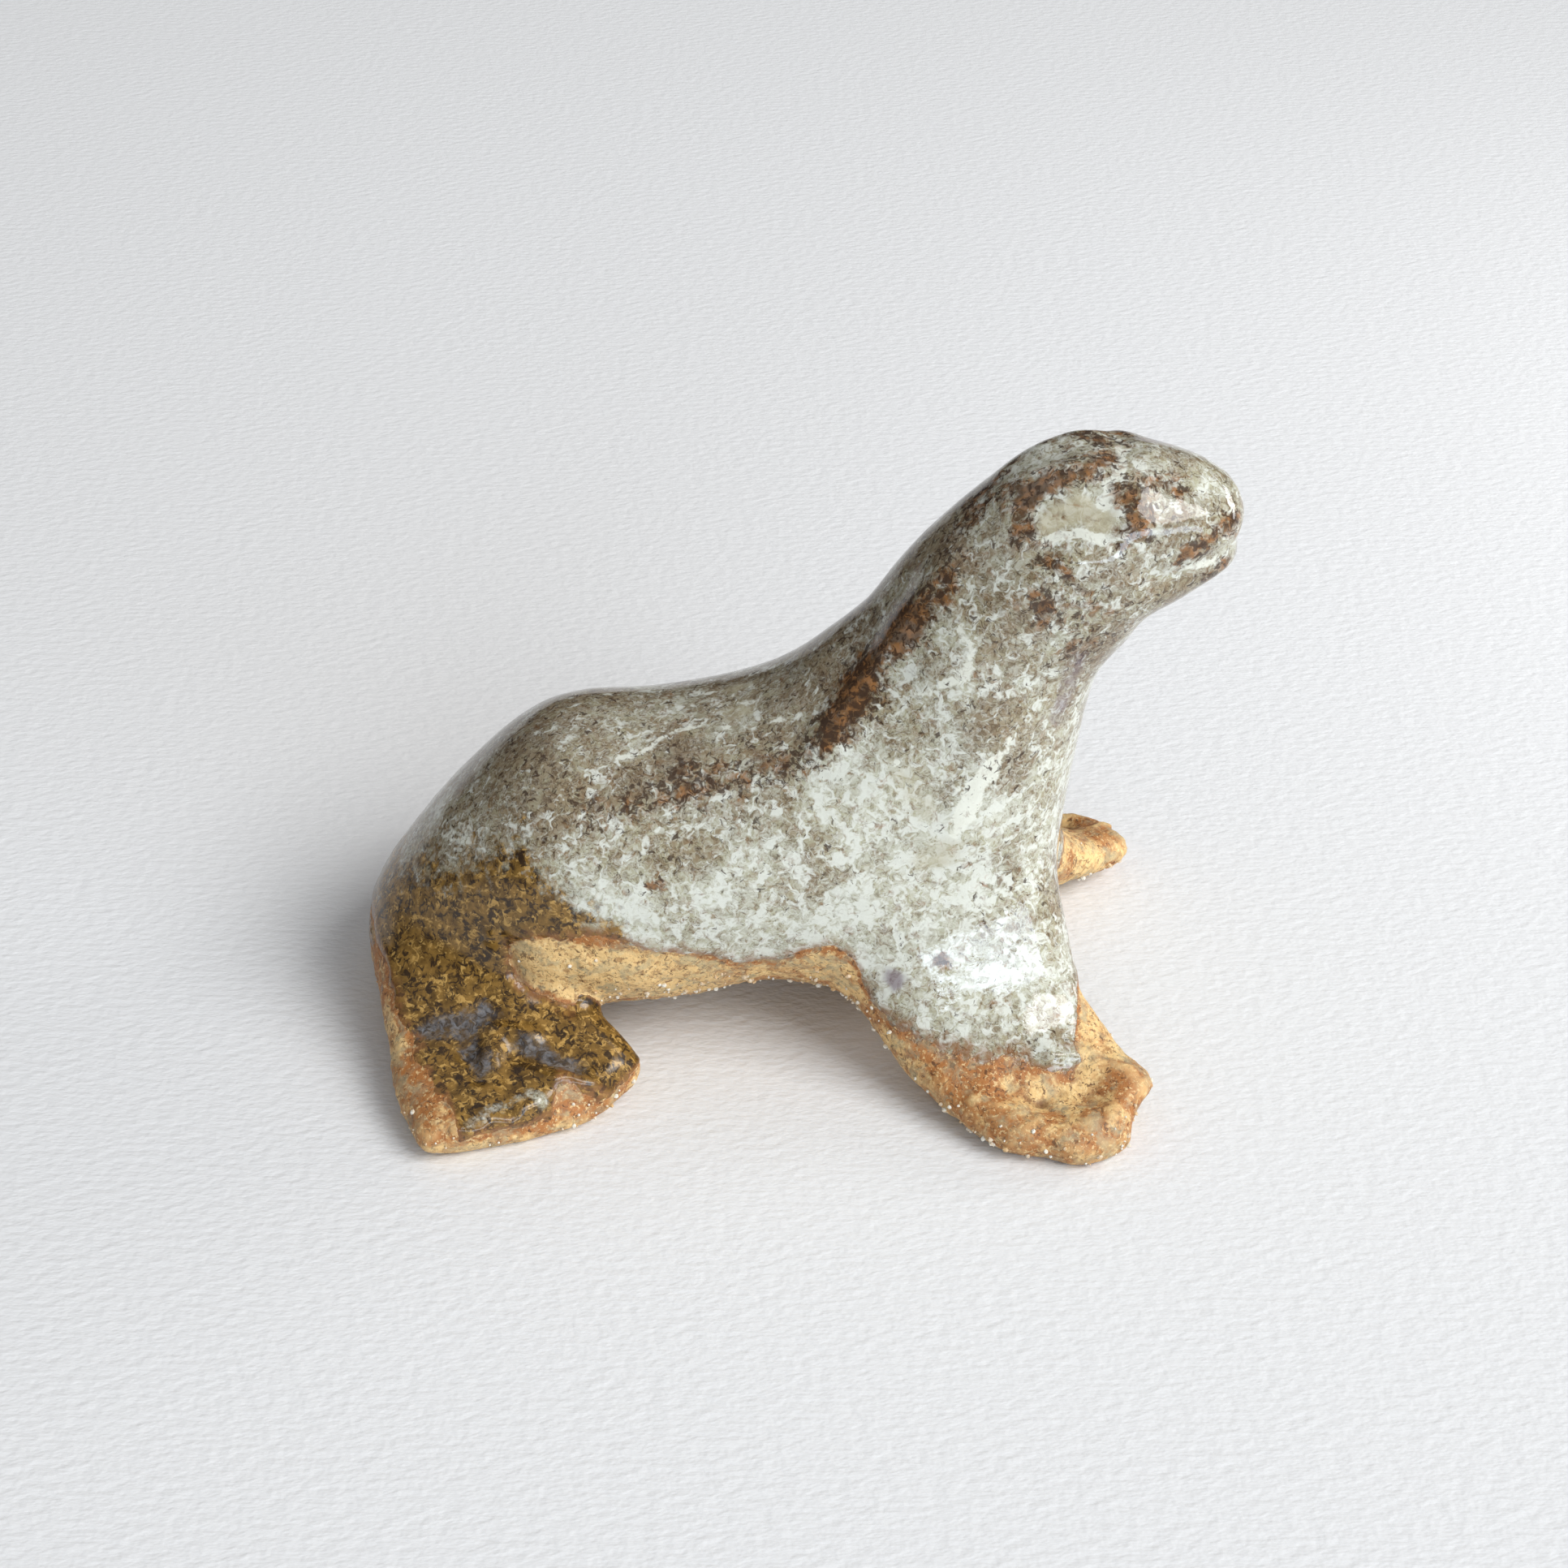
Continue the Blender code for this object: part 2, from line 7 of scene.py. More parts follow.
import bmesh
import bpy
import numpy as np
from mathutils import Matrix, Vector


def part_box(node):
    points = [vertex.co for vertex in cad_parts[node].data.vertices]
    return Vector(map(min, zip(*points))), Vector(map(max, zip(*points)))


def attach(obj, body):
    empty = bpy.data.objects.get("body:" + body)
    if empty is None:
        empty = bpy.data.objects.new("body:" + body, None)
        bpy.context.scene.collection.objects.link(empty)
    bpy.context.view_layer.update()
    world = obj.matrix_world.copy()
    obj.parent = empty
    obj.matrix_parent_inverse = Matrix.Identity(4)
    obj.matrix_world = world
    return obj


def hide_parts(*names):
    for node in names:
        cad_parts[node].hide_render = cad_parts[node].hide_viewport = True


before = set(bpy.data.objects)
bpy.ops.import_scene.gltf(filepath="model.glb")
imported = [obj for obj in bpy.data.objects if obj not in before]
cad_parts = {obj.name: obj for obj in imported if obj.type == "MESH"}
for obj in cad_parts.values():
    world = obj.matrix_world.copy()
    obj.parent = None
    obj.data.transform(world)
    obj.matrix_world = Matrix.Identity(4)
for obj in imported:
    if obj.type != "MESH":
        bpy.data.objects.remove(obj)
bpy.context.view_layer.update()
MM = 0.001

# CAMERA
# The photograph looks down on the right side of the animal from a hand's breadth away.
# The camera aims at the middle of the figurine, square to its length.
CAMERA_DISTANCE = 190 * MM
CAMERA_ELEVATION = 34
CAMERA_AIM = Vector((-0.25, 0.27, 15.0)) * MM
CAMERA_LENS = 72.6

elevation = np.radians(CAMERA_ELEVATION)
camera_data = bpy.data.cameras.new("camera")
camera_data.sensor_width = 36
camera_data.sensor_fit = "HORIZONTAL"
camera_data.lens = CAMERA_LENS
camera_data.clip_start = 5 * MM
camera = bpy.data.objects.new("camera", camera_data)
bpy.context.scene.collection.objects.link(camera)
towards_camera = Vector((0, -np.cos(elevation), np.sin(elevation)))
camera.location = CAMERA_AIM + towards_camera * CAMERA_DISTANCE
camera.rotation_euler = (-towards_camera).to_track_quat("-Z", "Y").to_euler()
bpy.context.scene.camera = camera

# THE FIGURINE'S SHAPE
# One lump of coarse stoneware, modelled with the fingers, so its skin is never quite even.
# The glaze lies on it as a coat with a rounded edge, and below that edge the clay is bare.
SKIN_GRID = 0.26 * MM
SKIN_PASSES = 14
SWELL_PASSES = 60
WELD_GAP = 0.001 * MM
COAT = 0.14 * MM


def skin_of(node):
    """A copy of the node with its corners joined, laid over with an even grid of faces."""
    mesh = node.data.copy()
    welded = bmesh.new()
    welded.from_mesh(mesh)
    bmesh.ops.remove_doubles(welded, verts=welded.verts, dist=WELD_GAP)
    welded.to_mesh(mesh)
    welded.free()
    lump = bpy.data.objects.new("lump", mesh)
    bpy.context.scene.collection.objects.link(lump)
    grid = lump.modifiers.new("grid", "REMESH")
    grid.mode = "VOXEL"
    grid.voxel_size = SKIN_GRID
    evaluated = lump.evaluated_get(bpy.context.evaluated_depsgraph_get())
    skin = bpy.data.meshes.new_from_object(evaluated)
    bpy.data.objects.remove(lump, do_unlink=True)
    skin.name = "seal_skin"
    skin.materials.clear()
    return skin


def points_of(mesh):
    """The mesh's vertices as rows of x, y, z."""
    points = np.empty(len(mesh.vertices) * 3, np.float32)
    mesh.vertices.foreach_get("co", points)
    return points.reshape(-1, 3).astype(float)


def edges_of(mesh):
    """The mesh's edges as rows of two vertex numbers."""
    edges = np.empty(len(mesh.edges) * 2, np.int32)
    mesh.edges.foreach_get("vertices", edges)
    return edges.reshape(-1, 2)


def normals_of(mesh, points):
    """Outward normals of the vertices, with the vertices at the given points."""
    mesh.vertices.foreach_set("co", points.astype(np.float32).ravel())
    mesh.update()
    normals = np.empty(len(mesh.vertices) * 3, np.float32)
    mesh.vertices.foreach_get("normal", normals)
    return normals.reshape(-1, 3).astype(float)


def relaxed(values, edges, passes):
    """Each value moved halfway to the mean of its neighbours, so many times over."""
    count = np.bincount(edges.ravel(), minlength=len(values)).reshape(-1, *[1] * (values.ndim - 1))
    for _ in range(passes):
        total = np.zeros_like(values)
        np.add.at(total, edges[:, 0], values[edges[:, 1]])
        np.add.at(total, edges[:, 1], values[edges[:, 0]])
        values = (values + total / count) / 2
    return values


LATTICE = 32
LATTICE_SHIFT = 1000


def noise(points, size, seed):
    """Smooth noise from -1 to 1 with lumps of the given size in mm.

    Random values stand on a cubic lattice. Between the eight nearest, with t the share of the
    way along each axis, the blend is by 3t^2 - 2t^3.
    """
    lattice = np.random.default_rng(seed).uniform(-1, 1, (LATTICE, LATTICE, LATTICE))
    place = points / (size * MM) + LATTICE_SHIFT
    cell = np.floor(place).astype(int)
    t = place - cell
    t = t * t * (3 - 2 * t)
    total = 0
    for corner in np.ndindex(2, 2, 2):
        share = np.prod(np.where(corner, t, 1 - t), axis=1)
        at = (cell + corner) % LATTICE
        total = total + share * lattice[at[:, 0], at[:, 1], at[:, 2]]
    return total


def layers(points, rows):
    """Noises added up. A row is a noise's size in mm, its strength and its seed."""
    return sum(strength * noise(points, size, seed) for size, strength, seed in rows)


def step(low, high, values):
    """0 below low, 1 above high, and 3t^2 - 2t^3 between, with t the share of the way."""
    t = np.clip((values - low) / (high - low), 0, 1)
    return t * t * (3 - 2 * t)


def near(points, path, radius):
    """1 on the path through the given points in mm, fading as exp(-(distance/radius)^2)."""
    path = np.array(path, float) * MM
    gap = np.full(len(points), np.inf)
    if len(path) == 1:
        path = np.vstack([path, path + 0.01 * MM])
    for start, end in zip(path, path[1:]):
        run = end - start
        along = np.clip((points - start) @ run / (run @ run), 0, 1)
        gap = np.minimum(gap, np.linalg.norm(points - start - along[:, None] * run, axis=1))
    return np.exp(-(gap / (radius * MM)) ** 2)


skin = skin_of(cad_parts["seal_figurine"])
edges = edges_of(skin)
clay = relaxed(points_of(skin), edges, SKIN_PASSES)
outward = normals_of(skin, clay)
swell = np.sum((clay - relaxed(clay, edges, SWELL_PASSES)) * outward, axis=1) / MM
x, y, z = (clay / MM).T
out = np.abs(y)

MIRROR = (1, -1, 1)
NEAR_DRIFT = 0.3 * MM
FAR_DRIFT = 0.9 * MM

blotch = noise(clay, 2.2, 12)
curl = noise(clay, 0.9, 13)
drift = np.stack([curl, blotch, -curl], axis=1)
near_side = clay + NEAR_DRIFT * drift
far_side = clay * MIRROR + FAR_DRIFT * drift


def strokes(paths):
    """The strokes' strengths added up, here and, bent a little out of place, on the left side.

    A stroke is a path in mm on the right side, the radius of the mark and its strength.
    """
    total = np.zeros(len(clay))
    for path, radius, weight in paths:
        total += weight * (near(near_side, path, radius) + near(far_side, path, radius))
    return total


# Where the dip ended. The glaze covers what lies above a line that runs level under the flank,
# drops over the arm to the wrist, and stops at the hind leg's lobe. The fans took it on their
# upper faces only, short of the rear and the outer corner. The edge wanders a little everywhere.
DIP_LINE = (
    (-26.0, 6.4), (-24.6, 6.0), (-23.5, 4.9), (-22.4, 4.2), (-20.0, 3.8), (-14.0, 4.2), (-13.2, 9.9),
    (-12.6, 10.3), (-10.0, 10.0), (-5.8, 9.2), (-2.5, 8.1), (-0.5, 8.2), (1.4, 8.9), (2.8, 9.1),
    (3.9, 8.3), (4.5, 6.8), (5.1, 5.5), (6.2, 5.0), (7.6, 4.4), (10.0, 4.1), (12.8, 3.9),
    (15.7, 3.8), (16.8, 4.1), (17.2, 6.0), (18.5, 9.0),
)
FAN_OUTER = (
    (-24.0, 9.8), (-22.4, 10.9), (-21.5, 12.7), (-19.9, 14.8), (-18.9, 17.5), (-15.0, 17.5),
    (-14.0, 15.4), (-13.5, 13.8), (-12.9, 13.4), (-11.5, 13.7), (-10.0, 14.2),
)
FAN_REAR = ((0.0, -26.5), (4.9, -24.4), (8.5, -23.0), (10.5, -22.2), (18.0, -21.8))
BELLY_LOBE = ((-14.3, -8.3, 8.1), (-12.5, -8.6, 7.2), (-9.0, -8.6, 6.8))
FAN_FRONT = -8.0
FAN_TOP = 5.8
LEG_FRONT = -12.4
LOBE_REACH = 2.3
LOBE_EDGE = 0.45
EDGE_WANDER = ((2.6, 0.45, 1), (0.9, 0.3, 2))
WRIST_TONGUE = ((15.0, -12.4, 4.1), (16.4, -12.5, 3.9), (17.8, -12.4, 3.7))
LOBE_CREASE = ((-16.5, -8.2, 9.2), (-16.2, -8.2, 7.2), (-15.0, -8.6, 6.0), (-13.0, -8.9, 5.2))

# What the fingers and the tool left: the fans' furrows and rolled lip, the paddles' basin with
# its pits and rim, and the lobe where the belly's clay was pressed on.
RELIEF = (
    (((-17.7, -12.3, 4.0), (-16.9, -10.6, 4.3), (-15.2, -10.4, 4.4)), 0.75, 0.38),
    (((-21.7, -10.2, 4.3), (-19.1, -9.9, 4.7), (-17.9, -9.4, 4.9)), 0.8, -0.26),
    (((-18.9, -11.5, 3.9), (-18.1, -13.2, 3.6)), 0.7, -0.3),
    (((-15.6, -11.9, 4.2), (-13.9, -12.2, 3.8), (-12.2, -12.5, 3.5)), 0.65, -0.32),
    (((-19.1, -16.6, 2.2), (-17.5, -16.1, 2.4), (-16.1, -15.7, 2.3), (-14.5, -14.8, 2.8)), 0.5, 0.32),
    (((-13.8, -13.7, 3.4), (-12.9, -13.3, 3.4), (-11.3, -13.4, 2.7)), 0.35, 0.25),
    (((-12.9, -14.4, 2.4), (-11.6, -14.2, 1.7)), 0.7, -0.3),
    (((13.4, -13.9, 3.2), (15.1, -14.3, 2.9), (16.6, -13.8, 3.0), (17.8, -14.0, 2.9)), 1.15, -0.42),
    (((14.9, -14.6, 2.8),), 0.36, -0.3),
    (((13.9, -14.2, 3.0), (14.6, -14.9, 2.8), (14.3, -15.7, 2.4)), 0.3, -0.16),
    (((15.4, -12.3, 4.1), (17.5, -12.1, 3.9), (19.6, -12.8, 3.6), (20.9, -13.8, 2.9)), 0.6, 0.3),
    (((18.9, -15.6, 2.2), (16.6, -16.7, 1.8), (13.8, -16.2, 2.0), (11.2, -14.5, 2.6)), 0.7, 0.26),
    (((20.0, -0.3, 37.6), (22.8, -0.4, 36.6)), 1.8, 0.2),
    (((15.0, -0.3, 37.9), (18.4, -0.3, 38.0)), 1.8, -0.09),
    (((-17.4, -7.6, 9.2),), 0.5, 0.3),
    (BELLY_LOBE, 1.5, 0.25),
    (LOBE_CREASE, 0.55, -0.3),
)
CLAY_LUMPS = ((1.7, 0.06, 3), (0.8, 0.04, 4))
CLAY_GRAIN = ((0.5, 0.06, 5), (0.3, 0.04, 6))


def along_line(values, line):
    """The line's height over each value, straight from one given point to the next."""
    return np.interp(values, *np.transpose(line))


# The coat's edge is 0 where the glaze ends and grows by 1 for each mm into the coat.
lobe = near(clay, BELLY_LOBE, LOBE_REACH) + near(clay * MIRROR, BELLY_LOBE, LOBE_REACH)
coat_edge = z - along_line(x, DIP_LINE)
fan_edge = np.minimum(along_line(x, FAN_OUTER) - out, x - along_line(out, FAN_REAR))
fan_edge = np.minimum(fan_edge, (outward[:, 2] - 0.1) * 3) + 0.5 * curl + 0.7 * blotch
on_fan = (x < FAN_FRONT) & (z < FAN_TOP)
coat_edge = np.where(on_fan, np.maximum(coat_edge, fan_edge), coat_edge)
coat_edge = np.where(x < LEG_FRONT, np.minimum(coat_edge, (LOBE_EDGE - lobe) * 5), coat_edge)
coat_edge += layers(clay, EDGE_WANDER) + strokes(((WRIST_TONGUE, 0.5, 1.7),))
coat = step(-0.25, 0.25, coat_edge)

# The lift is how far the skin stands off the clay, in mm: the coat with its thicker rounded
# edge, lumps and grain where the clay is bare, and the relief. On the sole there is none.
roll = np.exp(-((coat_edge - 0.45) / 0.4) ** 2)
lumps = layers(clay, CLAY_LUMPS)
grain = layers(clay, CLAY_GRAIN)
bare = (1 - coat) * (lumps * 1.2 + grain * 0.9 - 0.02)
glazed = coat * (COAT / MM * (0.75 + 0.5 * roll) + 0.3 * lumps - 0.10)
lift = bare + glazed + strokes(RELIEF)
lift *= step(0.02, 0.5, z)
shaped = clay + outward * (lift * MM)[:, None]
low, high = (np.array(corner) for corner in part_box("seal_figurine"))
shaped = np.clip(shaped, low, high)
normals_of(skin, shaped)  # The mesh keeps these points from here on.


def put(mesh, name, values):
    """Keep one number for each vertex under the given name, for a material to read."""
    layer = mesh.attributes.new(name, "FLOAT", "POINT")
    layer.data.foreach_set("value", values.astype(np.float32))


# THE FIGURINE'S GLAZE
# A thick stoneware glaze, full of pale crystals. It broke to rust on the ridges, where it ran
# thin, and gathered cream in the hollows. Over the rump it is a thin olive wash.
RIDGES = (
    (((8.9, -3.5, 31.5), (8.2, -3.6, 30.6), (7.4, -3.6, 29.6), (6.4, -3.6, 28.4)), 0.9, 1.3),
    (((6.4, -3.6, 28.4), (5.4, -3.5, 27.1), (4.4, -3.5, 25.6), (3.7, -4.2, 24.6)), 1.4, 1.6),
    (((3.7, -4.2, 24.6), (3.2, -5.0, 23.4), (2.4, -5.6, 22.2)), 1.2, 1.5),
    (((0.6, -5.9, 20.6), (-1.0, -5.8, 20.0), (-3.3, -5.5, 19.5), (-5.7, -5.5, 18.9)), 1.2, 0.62),
    (((-5.7, -5.5, 18.9), (-8.0, -6.0, 18.2), (-9.5, -6.4, 17.6), (-11.3, -6.3, 17.5)), 1.1, 0.55),
    (((13.7, -2.0, 36.5), (14.8, -2.1, 37.1), (16.1, -2.0, 37.6), (17.8, -1.0, 37.8)), 0.95, 1.35),
    (((13.5, -1.9, 36.4), (13.1, -2.6, 35.6), (12.9, -3.6, 34.5)), 0.85, 1.35),
    (((12.2, -1.0, 36.0), (11.2, -0.4, 34.9), (10.2, -1.0, 33.9)), 1.0, 0.95),
    (((18.7, -3.3, 36.8), (19.3, -3.7, 36.5), (19.6, -4.4, 35.5)), 0.95, 1.45),
    (((20.2, -2.2, 37.1), (21.6, -2.4, 36.6)), 0.75, 1.25),
    (((18.5, -4.7, 35.2), (18.7, -5.0, 34.5)), 0.6, 0.8),
    (((25.1, -2.1, 34.6), (24.5, -2.9, 34.3), (23.5, -3.7, 34.0), (22.3, -4.4, 33.5)), 0.75, 1.3),
    (((22.3, -4.4, 33.5), (21.5, -4.6, 33.1)), 0.6, 0.7),
    (((24.8, -2.4, 31.9), (24.2, -2.6, 31.3), (23.6, -3.0, 31.1)), 0.5, 1.3),
    (((14.4, -5.0, 33.6), (15.1, -5.5, 33.2)), 0.8, 1.1),
    (((14.3, -5.6, 31.4), (14.1, -5.7, 30.2)), 0.75, 1.05),
    (((15.9, -5.7, 30.3), (16.9, -5.7, 31.6)), 1.1, 0.55),
    (((16.0, -5.4, 27.7), (17.3, -5.3, 29.0)), 1.2, 0.5),
    (((11.7, -6.5, 13.5), (12.9, -5.6, 11.5), (13.7, -5.5, 8.5)), 1.1, 0.5),
    (((-7.8, -8.6, 13.7),), 0.45, 1.7),
    (((15.1, -3.6, 35.5),), 0.3, 1.5),
    (((9.1, -9.2, 8.9),), 0.45, 2.2),
)
HOLLOWS = (
    (((14.6, -3.7, 35.1), (15.9, -3.4, 36.0), (17.2, -4.1, 35.6)), 0.95, 1.2),
    (((6.8, -7.1, 20.3), (8.1, -7.6, 18.4)), 1.1, 0.6),
    (((7.9, -7.9, 15.2), (9.3, -7.8, 15.7)), 1.1, 0.7),
    (((-3.4, -1.4, 21.1), (-2.4, -1.1, 21.4)), 0.8, 0.8),
)
# White veins of crystal in the creases, and a painted highlight down the chest.
VEINS_AND_CHEST_HIGHLIGHT = (
    (((18.7, -0.2, 37.7), (18.2, -2.1, 37.6), (17.7, -2.8, 36.9), (17.4, -3.4, 36.2)), 0.32, 1.9),
    (((13.9, -4.3, 33.9), (14.8, -4.3, 34.4), (16.1, -4.4, 34.8), (17.1, -4.6, 34.7)), 0.32, 1.6),
    (((17.1, -4.6, 34.7), (17.7, -5.0, 34.2)), 0.45, 1.3),
    (((24.6, -2.9, 33.7), (24.3, -2.4, 32.8), (23.6, -2.9, 32.4), (22.6, -3.5, 32.3)), 0.45, 1.1),
    (((22.6, -3.5, 32.3), (21.0, -4.3, 32.5)), 0.35, 0.8),
    (((9.7, -5.1, 29.1), (10.4, -5.7, 28.1), (10.2, -5.9, 26.9), (8.9, -5.8, 26.0)), 0.42, 1.05),
    (((8.9, -5.8, 26.0), (6.9, -5.4, 25.0)), 0.4, 0.9),
    (((-10.7, -3.5, 19.3), (-9.1, -3.3, 19.5), (-6.7, -2.1, 20.2), (-4.6, -1.7, 20.7)), 0.32, 1.15),
    (((-4.6, -1.7, 20.7), (-4.1, -0.2, 21.0), (-2.2, -0.6, 21.6)), 0.28, 1.0),
    (((-4.6, -1.7, 20.7), (-2.8, -2.7, 21.0), (-0.4, -3.1, 21.8), (1.3, -3.4, 22.6)), 0.3, 1.05),
    # These three strokes down the chest are no vein of the glaze: they are a painted highlight, a
    # white streak where the window's reflection lies.
    (((12.6, -6.6, 22.6), (11.8, -6.9, 21.3), (11.3, -7.1, 20.6)), 0.4, 1.25),
    (((11.3, -7.1, 20.6), (10.6, -7.4, 19.7), (10.2, -7.6, 18.5)), 0.7, 1.6),
    (((10.2, -7.6, 18.5), (9.6, -7.7, 17.0)), 0.45, 1.2),
    (((6.0, -6.7, 21.2), (6.4, -6.5, 21.9)), 0.45, 0.95),
    (((-13.2, -6.5, 16.9), (-11.3, -6.6, 17.1)), 0.7, 0.7),
    (((-20.3, -3.5, 13.7), (-19.1, -4.3, 14.4)), 1.5, 0.75),
)
OLIVE_LINE = (
    (-26.0, 8.5), (-24.4, 9.8), (-21.3, 12.3), (-19.7, 13.0), (-17.7, 14.0), (-15.6, 15.2),
    (-14.6, 13.9), (-12.9, 12.9), (-9.7, 10.9), (-8.0, 6.0), (-7.0, -2.0),
)
LIP_GLAZE = (
    (((-18.4, -16.4, 2.5), (-17.0, -15.6, 3.0), (-15.2, -14.6, 3.2), (-14.3, -14.7, 2.6)), 1.1, 12.0),
)
STEEL = (
    (((-21.7, -10.2, 4.3), (-20.5, -9.9, 4.7), (-19.1, -9.9, 4.7), (-17.9, -9.7, 4.9)), 0.85, 1.0),
    (((-18.7, -11.5, 3.9), (-17.9, -12.9, 3.7)), 0.75, 0.9),
    (((-15.4, -11.2, 4.2), (-13.9, -12.0, 3.8), (-12.2, -12.6, 3.5)), 0.75, 1.0),
)
VIOLET = (
    (((16.2, -5.1, 26.9), (15.8, -4.8, 24.9), (15.5, -4.9, 23.4)), 1.0, 0.75),
    (((6.2, -9.4, 7.8), (6.4, -9.6, 7.5)), 0.7, 1.2),
)
TOAST = (
    (((-13.3, -14.1, 3.0), (-12.2, -14.2, 2.1), (-10.6, -13.8, 0.9)), 0.9, 0.5),
    (((-22.2, -13.1, 3.1), (-21.5, -15.4, 2.6), (-21.0, -17.0, 2.1)), 1.2, 0.3),
    (((20.0, 13.4, 3.4), (20.2, 12.6, 3.4)), 1.3, 0.25),
    (((-14.3, -8.3, 8.1), (-12.0, -8.6, 7.4), (-7.0, -8.6, 6.8)), 2.2, -0.5),
    (((14.4, -14.2, 3.0), (17.0, -14.0, 3.0)), 1.5, -0.15),
    (((10.0, -14.0, 3.0), (15.0, -16.5, 1.5), (20.0, -15.0, 1.5)), 2.5, 0.15),
)

HOLLOW_PASSES = 10

# How thick the glaze lies: clouds of three sizes, more in the dents and less on the swells.
patch = noise(clay, 5.5, 11)
cluster = noise(clay, 1.3, 14)
thick = 0.1 + 0.2 * patch + 0.28 * blotch + 0.22 * cluster - 0.8 * np.clip(swell, -0.35, 0.5)

# It gathered low on the flank, on the chest, along the side of the back, and at the shoulder.
thick += 0.1 * step(17.0, 10.5, z) * step(-17.0, -12.0, x) * step(8.0, 2.0, x)
thick += 0.05 * step(4.0, 9.0, x) * step(24.0, 16.0, z)
thick += 0.22 * step(28.0, 20.0, z) * step(-14.0, -8.0, x)
thick += 0.16 * near(clay, ((5.0, -7.2, 20.5), (8.0, -7.6, 16.5)), 4.0)

# It ran thinner on the throat and the arm, thicker on the head, thin at brow and muzzle, thin
# on top of the back, and thinnest along its own edge.
thick -= 0.17 * step(9.5, 13.0, x) * step(35.5, 31.0, z)
thick -= 0.08 * step(12.5, 10.0, z) * step(4.0, 7.0, x)
thick += 0.12 * step(33.0, 35.0, z)
thick -= 0.25 * near(near_side, ((19.4, -1.0, 37.5), (18.9, -2.4, 37.0)), 1.2)
thick -= 0.3 * near(near_side, ((20.4, -3.7, 35.6), (22.4, -3.8, 35.2)), 1.4)
thick -= 0.45 * step(0.2, 0.8, outward[:, 2]) * step(12.0, 18.0, z) * step(13.0, 8.0, x)
thick -= 0.4 * np.exp(-(coat_edge / 0.7) ** 2)

# Hollow is how far the shaped skin lies below its smoothed self. Olive is above 0 on the rump.
hollow = np.sum((relaxed(shaped, edges, HOLLOW_PASSES) - shaped) * outward, axis=1) / MM
olive = along_line(x, OLIVE_LINE) - z + 0.5 * patch + 0.7 * blotch - strokes(LIP_GLAZE)

put(skin, "coat_edge", coat_edge)
put(skin, "thick", thick)
put(skin, "rust", strokes(RIDGES))
put(skin, "cream", strokes(HOLLOWS))
put(skin, "vein_and_highlight", strokes(VEINS_AND_CHEST_HIGHLIGHT))
put(skin, "olive", olive)
put(skin, "steel", strokes(STEEL))
put(skin, "violet", strokes(VIOLET))
put(skin, "toast", strokes(TOAST))
put(skin, "hollow", hollow)


class Nodes:
    """A material's or a group's nodes, added one after the other and linked by their sockets."""

    def __init__(self, tree):
        self.tree = tree
        self.count = 0

    def add(self, kind, inputs=(), **settings):
        """A node with the given settings and inputs."""
        node = self.tree.nodes.new(kind)
        node.location = (200 * (self.count % 12), -260 * (self.count // 12))
        self.count += 1
        for name, value in settings.items():
            setattr(node, name, value)
        self.feed(node, dict(inputs))
        return node

    def feed(self, node, inputs):
        """Give the node its inputs, each a number, a colour or another's output."""
        for name, value in inputs.items():
            if isinstance(value, bpy.types.NodeSocket):
                self.tree.links.new(value, node.inputs[name])
            else:
                node.inputs[name].default_value = value

    def math(self, operation, first, second=0.0, clamp=False):
        """The result of one sum."""
        node = self.add("ShaderNodeMath", {0: first, 1: second},
                        operation=operation, use_clamp=clamp)
        return node.outputs[0]

    def scaled(self, value, by, plus=0.0, clamp=False):
        """The value times one number, plus another."""
        node = self.add("ShaderNodeMath", {0: value, 1: by, 2: plus},
                        operation="MULTIPLY_ADD", use_clamp=clamp)
        return node.outputs[0]

    def attribute(self, name):
        """The number kept on the mesh under that name."""
        return self.add("ShaderNodeAttribute", attribute_name=name).outputs["Fac"]

    def mix(self, share, first, second):
        """A colour that is so large a share of the second."""
        node = self.add("ShaderNodeMix", {"Factor": share, "A": first, "B": second},
                        data_type="RGBA")
        return node.outputs["Result"]

    def lay(self, colour, mask, share, tone):
        """The colour with a tone laid over it, where the mask is 1, so large a share of it."""
        return self.mix(self.scaled(mask, share), colour, tone)

    def between(self, share, first, second):
        """A number that is so large a share of the second."""
        node = self.add("ShaderNodeMix", {"Factor": share, "A": first, "B": second},
                        data_type="FLOAT")
        return node.outputs[0]

    def ramp(self, value, low, high):
        """0 below low and 1 above high, eased."""
        node = self.add("ShaderNodeMapRange", {"Value": value, "From Min": low, "From Max": high},
                        interpolation_type="SMOOTHSTEP")
        return node.outputs["Result"]

    def mm(self):
        """Object coordinates in millimetres."""
        place = self.add("ShaderNodeTexCoord").outputs["Object"]
        return self.stretched(place, (1 / MM, 1 / MM, 1 / MM))

    def stretched(self, place, by):
        """The place times one number for each axis."""
        node = self.add("ShaderNodeVectorMath", {0: place, 1: by}, operation="MULTIPLY")
        return node.outputs[0]

    def moved(self, place, by):
        """The place moved, so that a pattern there has nothing to do with the first."""
        node = self.add("ShaderNodeVectorMath", {0: place, 1: by}, operation="ADD")
        return node.outputs[0]

    def noise(self, place, scale, detail=2.0, roughness=0.5, distortion=0.0):
        """Noise with so many lumps to a millimetre."""
        node = self.add("ShaderNodeTexNoise", {
            "Vector": place, "Scale": scale, "Detail": detail,
            "Roughness": roughness, "Distortion": distortion})
        return node.outputs["Fac"]


def rgb(red, green, blue):
    """A colour written as it is seen, from 0 to 255, as the linear values that a shader takes."""
    seen = np.array([red, green, blue]) / 255
    linear = np.where(seen <= 0.04045, seen / 12.92, ((seen + 0.055) / 1.055) ** 2.4)
    return (*[float(v) for v in linear], 1.0)


WARP_SCALE = 1.7
WARP = 0.9


